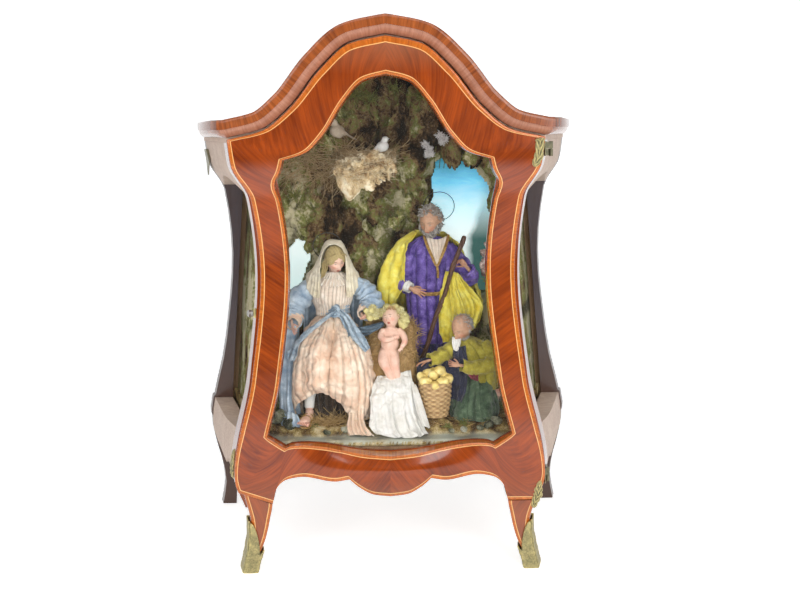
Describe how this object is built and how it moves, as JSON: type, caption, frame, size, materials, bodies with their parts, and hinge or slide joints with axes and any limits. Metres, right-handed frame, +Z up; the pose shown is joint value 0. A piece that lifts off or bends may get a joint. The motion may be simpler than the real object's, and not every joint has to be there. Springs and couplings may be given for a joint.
{
  "type": "neapolitan nativity scene",
  "caption": "Nativity group with dressed figures and cork rockwork in a bell-topped, waisted glazed display case on cabriole legs, with a hinged glass door and a turning latch.",
  "frame": {"origin": "on the floor under the middle of the whole case", "axes": "+Z up, the door faces -Y, +X to the right of someone facing the door"},
  "size_m": [0.676, 0.39, 0.86],
  "materials": {
    "rosewood": "French-polished veneer with boxwood stringing",
    "rosewood_side": "French-polished veneer, lighter on the sides",
    "ebonised": "blackened and polished",
    "deal": "planed softwood, stained",
    "glass": "old clear sheet glass",
    "gilt_bronze": "worn gilding over bronze, verdigris in the hollows",
    "steel": "dull turned steel",
    "cork": "cork bark with moss",
    "moss": "dry moss, earth and straw on board",
    "sky": "distemper on card",
    "straw": "dry straw and bark",
    "feathers": "grey-white down",
    "peach_silk": "old silk taffeta",
    "blue_silk": "faded silk",
    "cream_cloth": "fine cream wool",
    "skin": "painted terracotta, satin",
    "purple_cloth": "matte cloth",
    "yellow_silk": "silk",
    "walnut": "bare stick, dark",
    "wire": "tarnished wire",
    "white_cloth": "linen",
    "olive_cloth": "coarse wool",
    "green_cloth": "coarse wool",
    "wicker": "woven split willow",
    "bread": "painted terracotta loaves"
  },
  "bodies": {
    "case": {"cornice": "rosewood", "front_post_left": "rosewood", "front_post_right": "rosewood", "side_top_rail_left": "rosewood_side", "side_top_rail_right": "rosewood_side", "side_bottom_rail_left": "rosewood_side", "side_bottom_rail_right": "rosewood_side", "rear_post_left": "ebonised", "rear_post_right": "ebonised", "floor_board": "deal", "back_panel": "deal", "roof_panel": "deal", "side_glass_left": "glass", "side_glass_right": "glass", "foot_sabot_left": "gilt_bronze", "foot_sabot_right": "gilt_bronze", "corner_mount_upper_left": "gilt_bronze", "corner_mount_lower_left": "gilt_bronze", "hinge_case_leaf_lower": "gilt_bronze", "hinge_case_leaf_upper": "gilt_bronze", "latch_rosette": "gilt_bronze", "rock_cave": "cork", "ground_board": "moss", "sky_panel": "sky", "nest_ledge": "straw", "manger_straw": "straw", "dove": "feathers", "mary_dress": "peach_silk", "mary_mantle": "blue_silk", "mary_veil": "cream_cloth", "mary_head": "skin", "mary_hand_left": "skin", "mary_hand_right": "skin", "mary_foot": "skin", "child": "skin", "joseph_head": "skin", "joseph_hand_left": "skin", "joseph_hand_right": "skin", "shepherd_head": "skin", "shepherd_hand_left": "skin", "shepherd_hand_right": "skin", "joseph_robe": "purple_cloth", "joseph_cloak": "yellow_silk", "joseph_staff": "walnut", "mary_halo": "wire", "joseph_halo": "wire", "manger_cloth": "white_cloth", "shepherd_jacket": "olive_cloth", "shepherd_breeches": "green_cloth", "basket": "wicker", "basket_loaves": "bread"},
    "door": {"door_frame": "rosewood", "door_glass": "glass", "door_glazing_bead": "rosewood", "hinge_door_leaf_upper": "gilt_bronze", "hinge_door_leaf_lower": "gilt_bronze", "latch_keeper": "steel", "corner_mount_upper_right": "gilt_bronze", "corner_mount_lower_right": "gilt_bronze"},
    "latch": {"latch_knob": "steel"}
  },
  "joints": [
    {"name": "door_hinge", "type": "hinge", "parent": "case", "child": "door", "pos_m": [0.25, -0.1547, 0.4], "axis": [0, 0, 1], "range_deg": [0, 105]},
    {"name": "latch_turn", "type": "hinge", "parent": "case", "child": "latch", "pos_m": [-0.207, -0.127, 0.41], "axis": [-1, 0, 0], "range_deg": [0, 90]}
  ]
}
